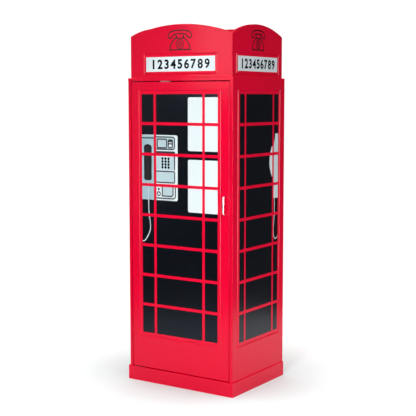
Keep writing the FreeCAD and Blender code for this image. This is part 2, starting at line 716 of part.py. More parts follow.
def door_pivot(low, screws):
    """The door's half of a pivot: a strip with the bore that the pin turns in."""
    bore = pivot_bore(low, UP, PLATE_THICKNESS, PIVOT_FIT)
    return cut_all(pivot_plate(low, low + PLATE_THICKNESS), [bore] + screws)


def build():
    """Every node of the cabinet: its name, and its solid or list of solids."""
    side_dowels = carcass_dowels()
    box_dowels = header_dowels()
    corner_screws = plinth_screws()
    floor_screws = base_screws()
    box_screws = header_screws()
    rear_screws = back_screws()
    pins = shelf_pins()
    held_catch = catch_screws()

    nodes = {
        "plinth_front_rail": front_rail(corner_screws),
        "plinth_right_rail": plinth_rail(1, corner_screws),
        "plinth_back_rail": plinth_rail(2, corner_screws),
        "plinth_left_rail": plinth_rail(3, corner_screws),
        "plinth_centre_rail": centre_rail(),
        "plinth_corner_blocks": plinth_blocks(corner_screws + floor_screws),
        "plinth_screws": corner_screws,
        "base_screws": floor_screws,
        "bottom_panel": bottom_panel(side_dowels, floor_screws),
        "back_panel": back_panel(rear_screws),
        "back_panel_screws": rear_screws,
        "carcass_dowels": side_dowels,
        "shelf_pins": pins,
    }

    for face in ("left", "right"):
        panel, sheet = side_panel(face, pins, side_dowels, rear_screws)
        nodes[f"{face}_side_panel"] = panel
        nodes[f"{face}_print_panel"] = sheet

    for number in range(1, SHELF_COUNT + 1):
        nodes[f"shelf_{number}"] = shelf(number)

    top_mortise = pivot_plate(TOP_UNDERSIDE, TOP_UNDERSIDE + PLATE_THICKNESS)
    top_cuts = box_screws + held_catch + [top_mortise] + TOP_FRAME_PIVOT_SCREWS
    nodes["top_panel"] = top_panel(side_dowels + box_dowels, top_cuts)

    sign_rows = (SIGN_BOTTOM, SIGN_TOP)
    front_sign, front_recess = inlay("front", -HEADER_FRONT, HEADER_SIDE - FRONT_SIGN_BORDER, sign_rows)
    nodes["header_front_board"] = header_board(0, box_dowels).cut(front_recess)
    nodes["header_back_board"] = header_board(2, box_dowels)
    nodes["front_sign_panel"] = front_sign
    for face, side in (("right", 1), ("left", 3)):
        sheet, recess = inlay(face, HEADER_SIDE, -HEADER_FRONT - SIDE_SIGN_BORDER, sign_rows)
        nodes[f"header_{face}_board"] = header_board(side, box_dowels).cut(recess)
        nodes[f"{face}_sign_panel"] = sheet
    nodes["header_corner_blocks"] = header_blocks(box_screws)
    nodes["header_roof_cleats"] = roof_cleats()
    nodes["header_roof_panel"] = roof_panel()
    nodes["header_dowels"] = box_dowels
    nodes["header_screws"] = box_screws

    window_rows = (WINDOW_BOTTOM, WINDOW_TOP)
    door_sheet, door_recess = inlay("front", -FRONT, SIDE - WINDOW_BORDER_SIDE, window_rows)
    nodes["door_board"] = door_board(door_recess)
    nodes["door_print_panel"] = door_sheet
    nodes["door_handle"] = handle_bow()
    nodes["handle_screws"] = handle_screws()

    nodes["door_pivot_plate_top"] = door_pivot(DOOR_TOP - PLATE_THICKNESS, TOP_DOOR_PIVOT_SCREWS)
    nodes["door_pivot_plate_bottom"] = door_pivot(DOOR_BOTTOM, LOW_DOOR_PIVOT_SCREWS)
    nodes["door_pivot_screws"] = TOP_DOOR_PIVOT_SCREWS + LOW_DOOR_PIVOT_SCREWS
    nodes["frame_pivot_plate_top"] = cut_all(
        frame_pivot(TOP_UNDERSIDE, DOWN, DOOR_TOP_GAP), TOP_FRAME_PIVOT_SCREWS
    )
    nodes["frame_pivot_plate_bottom"] = cut_all(
        frame_pivot(PLINTH_HEIGHT, UP, DOOR_BOTTOM_GAP), LOW_FRAME_PIVOT_SCREWS
    )
    nodes["frame_pivot_screws"] = TOP_FRAME_PIVOT_SCREWS + LOW_FRAME_PIVOT_SCREWS
    nodes["pivot_washers"] = [
        washer(PLINTH_HEIGHT, DOOR_BOTTOM_GAP - WASHER_SLACK),
        washer(DOOR_TOP + WASHER_SLACK, DOOR_TOP_GAP - WASHER_SLACK),
    ]

    housing = block((CATCH_LEFT, CATCH_RIGHT), (HOUSING_FRONT, HOUSING_FRONT + CATCH_WIDTH),
                    (CATCH_BOTTOM, TOP_UNDERSIDE))
    nodes["catch_housing"] = cut_all(housing, [catch_cavity()] + held_catch)
    nodes["catch_magnet"] = catch_magnet()
    nodes["catch_pole_plates"] = catch_poles()
    nodes["catch_screws"] = held_catch
    strike_z = CATCH_BOTTOM + CATCH_HEIGHT / 2
    strike = block(
        (CATCH_MIDDLE - STRIKE_LENGTH / 2, CATCH_MIDDLE + STRIKE_LENGTH / 2), (DOOR_BACK, STRIKE_FACE),
        (strike_z - STRIKE_HEIGHT / 2, strike_z + STRIKE_HEIGHT / 2)
    )
    nodes["strike_plate"] = cut_all(strike, strike_screws())
    nodes["strike_screws"] = strike_screws()
    nodes["door_bumper_pads"] = bumper_pads()
    return nodes


os.makedirs("parts", exist_ok=True)
for name, made in build().items():
    solids = made if isinstance(made, list) else made.Solids
    shape = solids[0] if len(solids) == 1 else Part.makeCompound(solids)
    shape.exportStep(f"parts/{name}.step")
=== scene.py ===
import json
import logging
import math
from dataclasses import dataclass, field
from enum import Enum
from typing import Any, Iterable, Sequence

import bmesh
import bpy
from mathutils import Matrix, Vector

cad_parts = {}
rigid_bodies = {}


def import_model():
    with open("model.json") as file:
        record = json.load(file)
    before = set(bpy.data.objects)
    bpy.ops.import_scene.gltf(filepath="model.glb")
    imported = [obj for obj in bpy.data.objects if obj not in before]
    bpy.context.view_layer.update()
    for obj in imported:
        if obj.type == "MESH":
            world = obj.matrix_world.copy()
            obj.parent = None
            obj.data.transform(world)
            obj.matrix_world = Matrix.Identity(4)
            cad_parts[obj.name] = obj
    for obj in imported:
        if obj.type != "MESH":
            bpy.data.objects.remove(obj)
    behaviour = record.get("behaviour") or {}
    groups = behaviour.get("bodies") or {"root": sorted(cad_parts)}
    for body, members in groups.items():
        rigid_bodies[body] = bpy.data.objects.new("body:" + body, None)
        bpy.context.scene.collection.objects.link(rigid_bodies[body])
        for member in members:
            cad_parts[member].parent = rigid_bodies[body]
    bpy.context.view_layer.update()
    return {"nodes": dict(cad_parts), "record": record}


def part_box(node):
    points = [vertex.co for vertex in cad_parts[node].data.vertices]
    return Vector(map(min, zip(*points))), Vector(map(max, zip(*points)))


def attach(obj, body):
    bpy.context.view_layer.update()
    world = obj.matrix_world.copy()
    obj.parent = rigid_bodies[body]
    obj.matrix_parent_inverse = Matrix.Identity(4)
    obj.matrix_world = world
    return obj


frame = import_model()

logging.basicConfig(level=logging.INFO, format="%(message)s")
log = logging.getLogger("telephone_booth_cabinet")

Point = tuple[float, float]
Socket = bpy.types.NodeSocket
MM = 0.001              # metres in a millimetre
COATING_IOR = 1.5       # polyurethane lacquer and cured ink alike
ARC_STEPS = 6           # pieces in a rounded corner

# Heights and widths of the prints, in millimetres.
INK_STEP = 0.05         # between two layers of ink
PLATE = 1.4 * INK_STEP  # thickness of one inked shape, whose foot lies inside the layer below
STILE_RISE = 0.02       # how far the upright bars stand over the rows
CORD = 5.0
CORD_LIGHT = 2.4        # the light line along a cord


# ---- nodes and colours ----
def linear(colour: str) -> tuple[float, float, float, float]:
    """Turns an sRGB hex colour into linear light.

    Args:
        colour: Six hex digits, with or without a leading #.

    Returns:
        Linear red, green, blue and an alpha of 1.
    """
    digits = colour.lstrip("#")
    channels = [int(digits[i:i + 2], 16) / 255 for i in (0, 2, 4)]
    red, green, blue = (c / 12.92 if c <= 0.04045 else ((c + 0.055) / 1.055) ** 2.4 for c in channels)
    return red, green, blue, 1.0


def add_node(
    tree: bpy.types.NodeTree,
    kind: str,
    settings: dict[str, Any] | None = None,
    inputs: dict[str | int, Any] | None = None,
) -> bpy.types.Node:
    """Adds a node with its settings, input values and links.

    Args:
        tree: The node tree.
        kind: The node's class name.
        settings: Properties to set on the node.
        inputs: Values by input name or number. A socket is linked, and a list of sockets is linked in turn.

    Returns:
        The new node.
    """
    node = tree.nodes.new(kind)
    for name, value in (settings or {}).items():
        setattr(node, name, value)
    for key, value in (inputs or {}).items():
        for item in value if isinstance(value, list) else [value]:
            if isinstance(item, Socket):
                tree.links.new(item, node.inputs[key])
            else:
                node.inputs[key].default_value = item
    return node


def stand(name: str, data: bpy.types.ID) -> bpy.types.Object:
    """Stands a new object with that data in the scene.

    Args:
        name: The object's name.
        data: Its mesh, curve, light or camera.

    Returns:
        The object.
    """
    thing = bpy.data.objects.new(name, data)
    bpy.context.scene.collection.objects.link(thing)
    return thing


class Recipe:
    """A node material in the making. Its textures read Object coordinates, in metres."""

    def __init__(self, name: str) -> None:
        """Starts an empty material.

        Args:
            name: The material's name.
        """
        self.material = bpy.data.materials.new(name)
        self.material.use_nodes = True
        self.tree = self.material.node_tree
        self.tree.nodes.clear()
        self.place = add_node(self.tree, "ShaderNodeTexCoord").outputs["Object"]

    def noise(self, width: float, detail: float) -> Socket:
        """Noise with features of about that width."""
        values = {"Vector": self.place, "Scale": 1 / width, "Detail": detail}
        return add_node(self.tree, "ShaderNodeTexNoise", inputs=values).outputs["Fac"]

    def blend(self, share: Socket, first: str, second: str) -> Socket:
        """A colour between two sRGB hex colours."""
        values = {0: share, 6: linear(first), 7: linear(second)}
        return add_node(self.tree, "ShaderNodeMix", {"data_type": "RGBA"}, values).outputs[2]

    def remap(
        self, value: Socket, given: Point = (0.0, 1.0), wanted: Point = (0.0, 1.0)
    ) -> Socket:
        """Turns a value of the given range into one of the wanted range."""
        values = dict(zip(("Value", "From Min", "From Max", "To Min", "To Max"), (value, *given, *wanted)))
        return add_node(self.tree, "ShaderNodeMapRange", inputs=values).outputs["Result"]

    def about(self, value: Socket, middle: float, spread: float) -> Socket:
        """A value that varies about its middle, by a spread either way."""
        return self.remap(value, wanted=(middle - spread, middle + spread))

    def bump(self, height: Socket, strength: float, depth: float) -> Socket:
        """The normal of a relief of that depth."""
        values = {"Strength": strength, "Distance": depth, "Height": height}
        return add_node(self.tree, "ShaderNodeBump", inputs=values).outputs["Normal"]

    def finish(self, inputs: dict[str | int, Any]) -> bpy.types.Material:
        """Ends the material with its surface shader.

        Args:
            inputs: Values and links for the surface shader.

        Returns:
            The finished material.
        """
        surface = add_node(self.tree, "ShaderNodeBsdfPrincipled", inputs=inputs)
        add_node(self.tree, "ShaderNodeOutputMaterial", inputs={"Surface": surface.outputs["BSDF"]})
        return self.material


# ---- finishes ----
@dataclass(frozen=True)
class SprayedLacquer:
    """Satin polyurethane lacquer sprayed on fibreboard: an even deep colour with a faint orange peel."""

    name: str
    colour: str
    shade: str                  # the colour where the coat lies thicker
    roughness: float = 0.22
    uneven: float = 0.03        # how far the roughness changes
    specular: float = 0.18      # the satin coat reflects less than clear gloss
    peel: float = 2.2 * MM      # width of one dimple of the peel
    peel_depth: float = 0.012 * MM
    cloud: float = 160 * MM     # width of the slow changes in the coat

    def build(self) -> bpy.types.Material:
        """Builds the material.

        Returns:
            The material.
        """
        recipe = Recipe(self.name)
        cloud = recipe.noise(self.cloud, 3.0)
        return recipe.finish({
            "Base Color": recipe.blend(cloud, self.colour, self.shade),
            "Roughness": recipe.about(cloud, self.roughness, self.uneven),
            "IOR": COATING_IOR,
            "Specular IOR Level": self.specular,
            "Normal": recipe.bump(recipe.noise(self.peel, 2.0), 0.6, self.peel_depth),
        })


@dataclass(frozen=True)
class PrintedInk:
    """Cured ink on a rigid vinyl sheet: flat colour, with a wide printer's fine dots and slight sheen."""

    name: str
    colour: str
    second: str                 # the colour between the ink dots
    roughness: float = 0.4
    specular: float = 0.5
    sheen: str = "#ffffff"      # tint of what the ink reflects
    uneven: float = 0.04        # how far the roughness changes
    dot: float = 0.7 * MM       # real dots are finer: this is as coarse as needed to show
    dot_edge: Point = (0.35, 0.65)      # the part of the noise in which a dot fades out
    relief: float = 0.004 * MM

    def build(self) -> bpy.types.Material:
        """Builds the material.

        Returns:
            The material.
        """
        recipe = Recipe(self.name)
        dots = recipe.noise(self.dot, 1.0)
        return recipe.finish({
            "Base Color": recipe.blend(recipe.remap(dots, self.dot_edge), self.colour, self.second),
            "Roughness": recipe.about(dots, self.roughness, self.uneven),
            "IOR": COATING_IOR,
            "Specular IOR Level": self.specular,
            "Specular Tint": linear(self.sheen),
            "Normal": recipe.bump(dots, 0.4, self.relief),
        })


@dataclass(frozen=True)
class PlatedMetal:
    """Plated steel: a metal base whose roughness and tone change with the plating's fine grain."""

    name: str
    colour: str
    shade: str
    roughness: float
    grain: float                # width of one grain of the plating
    uneven: float = 0.05        # how far the roughness changes
    relief: float = 0.01        # depth of a grain, as a share of its width

    def build(self) -> bpy.types.Material:
        """Builds the material.

        Returns:
            The material.
        """
        recipe = Recipe(self.name)
        grain = recipe.noise(self.grain, 4.0)
        return recipe.finish({
            "Base Color": recipe.blend(grain, self.colour, self.shade),
            "Metallic": 1.0,
            "Roughness": recipe.about(grain, self.roughness, self.uneven),
            "Normal": recipe.bump(grain, 0.2, self.grain * self.relief),
        })


@dataclass(frozen=True)
class PlanedSoftwood:
    """Raw planed pine: pale early wood with darker late-wood lines that run along X."""

    name: str
    early: str
    late: str
    roughness: float = 0.7
    ring: float = 4 * MM        # distance between growth lines
    stretch: float = 0.12       # the figure's scale along the grain
    relief: float = 0.05 * MM

    def build(self) -> bpy.types.Material:
        """Builds the material.

        Returns:
            The material.
        """
        recipe = Recipe(self.name)
        along = add_node(recipe.tree, "ShaderNodeMapping", inputs={
            "Vector": recipe.place, "Scale": (self.stretch, 1.0, 1.0),
        })
        rings = add_node(recipe.tree, "ShaderNodeTexWave", {"bands_direction": "DIAGONAL"}, {
            "Vector": along.outputs["Vector"], "Scale": 0.3 / self.ring, "Distortion": 3.0, "Detail": 3.0,
        }).outputs["Fac"]
        return recipe.finish({
            "Base Color": recipe.blend(rings, self.early, self.late),
            "Roughness": self.roughness,
            "Normal": recipe.bump(rings, 0.4, self.relief),
        })


@dataclass(frozen=True)
class MouldedPart:
    """A moulded or pressed small part: even colour with the fine texture of its mould."""

    name: str
    colour: str
    shade: str
    roughness: float
    texture: float = 0.8 * MM
    depth: float = 0.02 * MM

    def build(self) -> bpy.types.Material:
        """Builds the material.

        Returns:
            The material.
        """
        recipe = Recipe(self.name)
        grain = recipe.noise(self.texture, 3.0)
        return recipe.finish({
            "Base Color": recipe.blend(grain, self.colour, self.shade),
            "Roughness": self.roughness,
            "Normal": recipe.bump(grain, 0.5, self.depth),
        })


Finish = SprayedLacquer | PrintedInk | PlatedMetal | PlanedSoftwood | MouldedPart


class Coat(Enum):
    """The finishes of the cabinet, each with the record's slot that it belongs to."""

    LACQUER = (SprayedLacquer("red_satin_polyurethane_lacquer", "#ee0035", "#e80031"), "red_lacquer")
    RED_INK = (PrintedInk("red_printed_vinyl", "#f20037", "#ec0033", 0.3, 0.18), "red_print")
    BLACK_INK = (
        PrintedInk("black_printed_vinyl", "#080a10", "#0b0e15", 0.22, 0.26, "#d4e8ff"), "black_print",
    )
    WHITE_INK = (PrintedInk("white_printed_vinyl", "#e9f3f6", "#eaf6fb"), "white_print")
    BLUE_INK = (PrintedInk("blue_grey_printed_vinyl", "#a8c9d4", "#a2c5d0"), "blue_print")
    PANEL_INK = (PrintedInk("pale_blue_printed_vinyl", "#c6dce3", "#c0d8df"), "blue_print")
    TEAL_INK = (PrintedInk("pale_teal_printed_vinyl", "#dcf1f2", "#d6edee"), "blue_print")
    HANDSET_INK = (PrintedInk("charcoal_printed_vinyl", "#232227", "#27262c", 0.22, 0.3), "black_print")
    LINE_INK = (PrintedInk("slate_line_printed_vinyl", "#202a31", "#1c252c"), "black_print")
    GREY_INK = (PrintedInk("grey_printed_vinyl", "#9aa5a8", "#929da1"), "blue_print")
    EMBLEM_INK = (PrintedInk("dark_red_printed_line", "#3c000d", "#34000b", 0.4, 0.25), "black_print")
    CHROME = (
        PlatedMetal("polished_chrome_plate", "#eceef0", "#e2e4e8", 0.14, 3 * MM, 0.03), "handle_chrome",
    )
    ZINC = (PlatedMetal("bright_zinc_plate", "#b9bcc0", "#a8abb0", 0.34, 1.2 * MM), "zinc_steel")
    PINE = (PlanedSoftwood("planed_pine", "#d9b98a", "#b98f5c"), "raw_timber")
    NYLON = (MouldedPart("moulded_nylon", "#e8e5da", "#dfdccf", 0.45), "nylon")
    BLACK_NYLON = (MouldedPart("black_moulded_nylon", "#141415", "#1a1a1c", 0.5), "nylon")
    # also the painted shade of the screws' driver slots
    FERRITE_AND_SLOT_SHADE = (MouldedPart("sintered_ferrite_and_painted_slot_shade", "#26272a", "#1c1d20", 0.6), "magnet_ferrite")
    RUBBER = (MouldedPart("moulded_rubber", "#161617", "#1e1e20", 0.75), "rubber_pad")

    @property
    def slot(self) -> str:
        """The record's material slot."""
        return self.value[1]

    def material(self) -> bpy.types.Material:
        """The material, built once."""
        finish: Finish = self.value[0]
        return bpy.data.materials.get(finish.name) or finish.build()


# ---- faces and flat shapes ----
@dataclass(frozen=True)
class Face:
    """An outer face of the cabinet: u runs to the right as one looks at it, v up and n out of it."""

    along: Vector
    normal: Vector
    distance: float

    def matrix(self) -> Matrix:
        """The matrix from (u, v, n) in millimetres to the row frame in metres."""
        turn = Matrix((self.along, Vector((0, 0, 1)), self.normal)).transposed().to_4x4()
        return Matrix.Translation(self.normal * self.distance) @ turn @ Matrix.Scale(MM, 4)


class Side(Enum):
    """The cabinet's three decorated sides: the way u runs and the way the face looks."""

    FRONT = (Vector((1, 0, 0)), Vector((0, -1, 0)))
    RIGHT = (Vector((0, 1, 0)), Vector((1, 0, 0)))
    LEFT = (Vector((0, -1, 0)), Vector((-1, 0, 0)))

    def face_of(self, node: str) -> Face:
        """The outer face of a CAD node on this side."""
        along, normal = self.value
        return Face(along, normal, max(corner.dot(normal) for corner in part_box(node)))

    def half_width_of(self, node: str) -> float:
        """Half the width of a CAD node along this side, in millimetres."""
        low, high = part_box(node)
        return abs((high - low).dot(self.value[0])) / 2 / MM


def rounded(u: Point, v: Point, radii: float | Sequence[float] = 0.0) -> list[Point]:
    """The outline of a rectangle with rounded corners.

    Args:
        u: Left and right.
        v: Bottom and top.
        radii: One radius, or those of the lower left, lower right, upper right and upper left corners.

    Returns:
        Points in order, against the clock.
    """
    corners = [(u[0], v[0], 1, 1), (u[1], v[0], -1, 1), (u[1], v[1], -1, -1), (u[0], v[1], 1, -1)]
    each = radii if isinstance(radii, Sequence) else (radii,) * len(corners)
    outline: list[Point] = []
    for number, ((cu, cv, su, sv), radius) in enumerate(zip(corners, each)):
        if radius <= 0:
            outline.append((cu, cv))
            continue
        centre = (cu + su * radius, cv + sv * radius)
        for step in range(ARC_STEPS + 1):
            angle = math.pi + (number + step / ARC_STEPS) * math.pi / 2
            outline.append((centre[0] + radius * math.cos(angle), centre[1] + radius * math.sin(angle)))
    return outline


def ring(centre: Point, radius: Point | float, count: int = 32) -> list[Point]:
    """Points round a circle or an ellipse.

    Args:
        centre: Its middle.
        radius: One radius, or those along u and v.
        count: How many points.

    Returns:
        Points in order, against the clock.
    """
    ru, rv = radius if isinstance(radius, tuple) else (radius, radius)
    turns = [2 * math.pi * i / count for i in range(count)]
    return [(centre[0] + ru * math.cos(a), centre[1] + rv * math.sin(a)) for a in turns]


def smooth(points: Sequence[Point], steps: int = 8, closed: bool = False) -> list[Point]:
    """A smooth line through points.

    Args:
        points: The points that it passes through.
        steps: Pieces between two points.
        closed: Whether it comes back to its start.

    Returns:
        The line's points.
    """
    count = len(points)
    line: list[Point] = []
    for i in range(count if closed else count - 1):
        picks = (k % count if closed else min(max(k, 0), count - 1) for k in (i - 1, i, i + 1, i + 2))
        a, b, c, d = (Vector(points[k]) for k in picks)
        for step in range(steps):
            t = step / steps
            p = b * 2 + (c - a) * t + (a * 2 - b * 5 + c * 4 - d) * t ** 2 + (b * 3 - a - c * 3 + d) * t ** 3
            line.append((p.x / 2, p.y / 2))
    return line if closed else line + [tuple(points[-1])]


class Layer(Enum):
    """How high each layer of ink stands on its sheet, in steps."""

    PANE = 1
    PICTURE = 2
    OUTLINE = 3
    FILL = 4
    DETAIL = 5
    MARK = 6
    BAR = 8

    @property
    def top(self) -> float:
        """The layer's height over the sheet, in millimetres."""
        return self.value * INK_STEP


class Print:
    """Flat inked shapes of one colour on one face, gathered into one mesh of thin closed plates.

    Outlines and widths are in millimetres.
    """

    def __init__(self, face: Face) -> None:
        """Starts an empty print on a face."""
        self.face = face
        self.mesh = bmesh.new()

    def _row(self, points: Iterable[Point], height: float) -> list[bmesh.types.BMVert]:
        """New corners at that height."""
        return [self.mesh.verts.new((u, v, height)) for u, v in points]

    def area(self, outline: Sequence[Point], layer: Layer) -> "Print":
        """Adds a filled shape.

        Args:
            outline: Its corners in order.
            layer: The layer that it is printed on.

        Returns:
            This print.
        """
        lower, upper = self._row(outline, layer.top - PLATE), self._row(outline, layer.top)
        self.mesh.faces.new(upper)
        self.mesh.faces.new(lower[::-1])
        for i in range(len(lower)):
            j = (i + 1) % len(lower)
            self.mesh.faces.new((lower[i], lower[j], upper[j], upper[i]))
        return self

    def _band(self, left: list[Point], right: list[Point], layer: Layer, closed: bool) -> None:
        """Adds a thin bar between two matching rows of points.

        Args:
            left: One edge.
            right: The other edge.
            layer: The layer that it is printed on.
            closed: Whether the bar comes back to its start.
        """
        low, top = layer.top - PLATE, layer.top
        grid = [self._row(*row) for row in ((left, low), (right, low), (right, top), (left, top))]
        count = len(left)
        for i in range(count if closed else count - 1):
            j = (i + 1) % count
            for a in range(4):
                b = (a + 1) % 4
                self.mesh.faces.new((grid[a][i], grid[a][j], grid[b][j], grid[b][i]))
        if not closed:
            self.mesh.faces.new([row[0] for row in grid])
            self.mesh.faces.new([row[-1] for row in reversed(grid)])

    def line(self, path: Sequence[Point], width: float, layer: Layer, closed: bool = False) -> "Print":
        """Adds a line of even width along a path.

        Args:
            path: The middle of the line.
            width: The line's width.
            layer: The layer that it is printed on.
            closed: Whether the path comes back to its start.

        Returns:
            This print.
        """
        count = len(path)
        left: list[Point] = []
        right: list[Point] = []
        for i, here in enumerate(path):
            before = path[(i - 1) % count] if closed or i else here
            after = path[(i + 1) % count] if closed or i < count - 1 else here
            into = Vector(here) - Vector(before)
            out = Vector(after) - Vector(here)
            into = into.normalized() if into.length else out.normalized()
            out = out.normalized() if out.length else into
            way = (into + out).normalized()
            stretch = 1 / max(way.dot(out), 0.5)
            offset = Vector((-way.y, way.x)) * width / 2 * stretch
            left.append(tuple(Vector(here) + offset))
            right.append(tuple(Vector(here) - offset))
        self._band(left, right, layer, closed)
        return self

    def piece(self, name: str, coat: Coat, body: str) -> bpy.types.Object:
        """Ends the print as one piece.

        Args:
            name: The piece's name.
            coat: Its ink.
            body: The body it rides on.

        Returns:
            The piece.
        """
        self.mesh.transform(self.face.matrix())
        bmesh.ops.triangulate(self.mesh, faces=self.mesh.faces[:])
        bmesh.ops.recalc_face_normals(self.mesh, faces=self.mesh.faces[:])
        return settle(name, mesh_of(name, self.mesh), coat, body)


def mesh_of(name: str, made: bmesh.types.BMesh) -> bpy.types.Mesh:
    """Turns a finished bmesh into a mesh.

    Args:
        name: The mesh's name.
        made: The bmesh, which is freed.

    Returns:
        The mesh.
    """
    data = bpy.data.meshes.new(name)
    made.to_mesh(data)
    made.free()
    return data


def settle(name: str, data: bpy.types.Mesh, coat: Coat, body: str) -> bpy.types.Object:
    """Makes a finished mesh a piece of the cabinet.

    Args:
        name: The piece's name.
        data: Its mesh, in the row frame.
        coat: Its finish.
        body: The body it rides on.

    Returns:
        The piece.
    """
    data.materials.clear()
    data.materials.append(coat.material())
    piece = stand(name, data)
    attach(piece, body)
    log.info("%s: %d faces on %s", name, len(data.polygons), body)
    return piece


# ---- repeated shapes ----
class Pattern:
    """A Geometry Nodes tree with named inputs, which makes one plain mesh of repeated shapes.

    Its Float inputs are lengths in millimetres.
    """

    def __init__(self, name: str, inputs: dict[str, str]) -> None:
        """Starts the tree.

        Args:
            name: The tree's name.
            inputs: The kind of each named input, such as Float or Int.
        """
        self.tree = bpy.data.node_groups.new(name, "GeometryNodeTree")
        self.ids: dict[str, str] = {}
        for label, kind in {**inputs, "Finish": "Material"}.items():
            socket = self.tree.interface.new_socket(label, in_out="INPUT", socket_type=f"NodeSocket{kind}")
            self.ids[label] = socket.identifier
        self.tree.interface.new_socket("Geometry", in_out="OUTPUT", socket_type="NodeSocketGeometry")
        self.given = add_node(self.tree, "NodeGroupInput").outputs

    def sum(self, operation: str, a: Any, b: Any) -> Socket:
        """The result of a sum on two values or sockets."""
        return add_node(self.tree, "ShaderNodeMath", {"operation": operation}, {0: a, 1: b}).outputs[0]

    def vector(self, x: Any = 0.0, y: Any = 0.0, z: Any = 0.0) -> Socket:
        """A vector of three values or sockets."""
        return add_node(self.tree, "ShaderNodeCombineXYZ", inputs={0: x, 1: y, 2: z}).outputs[0]

    def shape(self, kind: str, inputs: dict[str, Any]) -> Socket:
        """A simple mesh, such as Cube or Line, from its inputs."""
        return add_node(self.tree, f"GeometryNodeMesh{kind}", inputs=inputs).outputs["Mesh"]

    def block(self, x: Any, y: Any, z: Any) -> Socket:
        """A block of that size."""
        return self.shape("Cube", {"Size": self.vector(x, y, z)})

    def dot(self, corners: int) -> Socket:
        """A round dot of the pattern's radius and depth."""
        size = {name: self.given[name] for name in ("Radius", "Depth")}
        return self.shape("Cylinder", {"Vertices": corners, **size})

    def grid(self) -> Socket:
        """The pattern's columns and rows of points, centred."""
        names = {"Size X": "Width", "Size Y": "Height", "Vertices X": "Columns", "Vertices Y": "Rows"}
        return self.shape("Grid", {socket: self.given[name] for socket, name in names.items()})

    def copies(self, points: Socket, shape: Socket) -> Socket:
        """Copies of a shape on points."""
        values = {"Points": points, "Instance": shape}
        return add_node(self.tree, "GeometryNodeInstanceOnPoints", inputs=values).outputs["Instances"]

    def end(self, *parts: Socket) -> "Pattern":
        """Joins the parts, makes the copies real and gives them their material.

        Args:
            parts: The copies of each shape.

        Returns:
            This pattern, ready for use.
        """
        joined = add_node(self.tree, "GeometryNodeJoinGeometry", inputs={0: list(parts)})
        real = add_node(self.tree, "GeometryNodeRealizeInstances", inputs={0: joined.outputs[0]})
        dressed = add_node(self.tree, "GeometryNodeSetMaterial", inputs={
            "Geometry": real.outputs[0], "Material": self.given["Finish"],
        })
        add_node(self.tree, "NodeGroupOutput", inputs={0: dressed.outputs[0]})
        return self

    def make(
        self, name: str, sizes: dict[str, float | int], coat: Coat, body: str, place: Matrix
    ) -> bpy.types.Object:
        """Makes one piece from the tree.

        Args:
            name: The piece's name.
            sizes: A value for each named input.
            coat: Its finish.
            body: The body it rides on.
            place: The matrix from the pattern's own frame, in millimetres, to the row frame.

        Returns:
            The piece, with a plain mesh and no modifier.
        """
        maker = stand(f"{name}_maker", bpy.data.meshes.new(f"{name}_maker"))
        nodes = maker.modifiers.new("pattern", "NODES")
        nodes.node_group = self.tree
        for label, value in {**sizes, "Finish": coat.material()}.items():
            nodes[self.ids[label]] = value
        graph = bpy.context.evaluated_depsgraph_get()
        graph.update()
        data = bpy.data.meshes.new_from_object(maker.evaluated_get(graph))
        data.name = name
        data.transform(place)
        bpy.data.objects.remove(maker)
        return settle(name, data, coat, body)


def bar_pattern() -> Pattern:
    """The bars of a window: even rows between two upright bars, centred on the window.

    Returns:
        The pattern. Its upright bars stand a touch over the rows, so that no two tops share a plane.
    """
    pattern = Pattern("glazing_bars", {
        "Width": "Float", "Height": "Float", "Rows": "Int", "Row bar": "Float",
        "Stile offset": "Float", "Stile bar": "Float", "Thickness": "Float",
    })
    given = pattern.given
    middle = pattern.sum("MULTIPLY", given["Thickness"], 0.5)
    pitch = pattern.sum("DIVIDE", pattern.sum("ADD", given["Height"], given["Row bar"]), given["Rows"])
    gaps = pattern.sum("SUBTRACT", given["Rows"], 2.0)
    first = pattern.sum("MULTIPLY", pattern.sum("MULTIPLY", gaps, pitch), -0.5)
    rows = pattern.shape("Line", {
        "Count": pattern.sum("SUBTRACT", given["Rows"], 1.0),
        "Start Location": pattern.vector(0.0, first, middle), "Offset": pattern.vector(0.0, pitch, 0.0),
    })
    apart = pattern.sum("MULTIPLY", given["Stile offset"], 2.0)
    left = pattern.sum("MULTIPLY", given["Stile offset"], -1.0)
    stiles = pattern.shape("Line", {
        "Count": 2, "Start Location": pattern.vector(left, 0.0, middle), "Offset": pattern.vector(apart),
    })
    thicker = pattern.sum("ADD", given["Thickness"], STILE_RISE)
    return pattern.end(
        pattern.copies(rows, pattern.block(given["Width"], given["Row bar"], given["Thickness"])),
        pattern.copies(stiles, pattern.block(given["Stile bar"], given["Height"], thicker)),
    )


def grid_pattern() -> Pattern:
    """Round dots in rows and columns, centred.

    Returns:
        The pattern.
    """
    lengths = {label: "Float" for label in ("Width", "Height", "Radius", "Depth")}
    pattern = Pattern("dot_grid", {"Columns": "Int", "Rows": "Int", **lengths})
    return pattern.end(pattern.copies(pattern.grid(), pattern.dot(20)))


def dial_pattern() -> Pattern:
    """The finger holes of a dial: round dots on a circle.

    Returns:
        The pattern.
    """
    pattern = Pattern("dial_holes", {"Holes": "Int", "Circle": "Float", "Radius": "Float", "Depth": "Float"})
    circle = pattern.shape("Circle", {"Vertices": pattern.given["Holes"], "Radius": pattern.given["Circle"]})
    return pattern.end(pattern.copies(circle, pattern.dot(16)))


def cross_pattern() -> Pattern:
    """Crossed driver slots on screw heads in rows and columns, centred.

    Returns:
        The pattern.
    """
    lengths = {label: "Float" for label in ("Width", "Height", "Length", "Slot", "Depth")}
    pattern = Pattern("driver_slots", {"Columns": "Int", "Rows": "Int", **lengths})
    grid = pattern.grid()
    length, slot, depth = (pattern.given[label] for label in ("Length", "Slot", "Depth"))
    return pattern.end(
        pattern.copies(grid, pattern.block(length, slot, depth)),
        pattern.copies(grid, pattern.block(slot, length, depth)),
    )


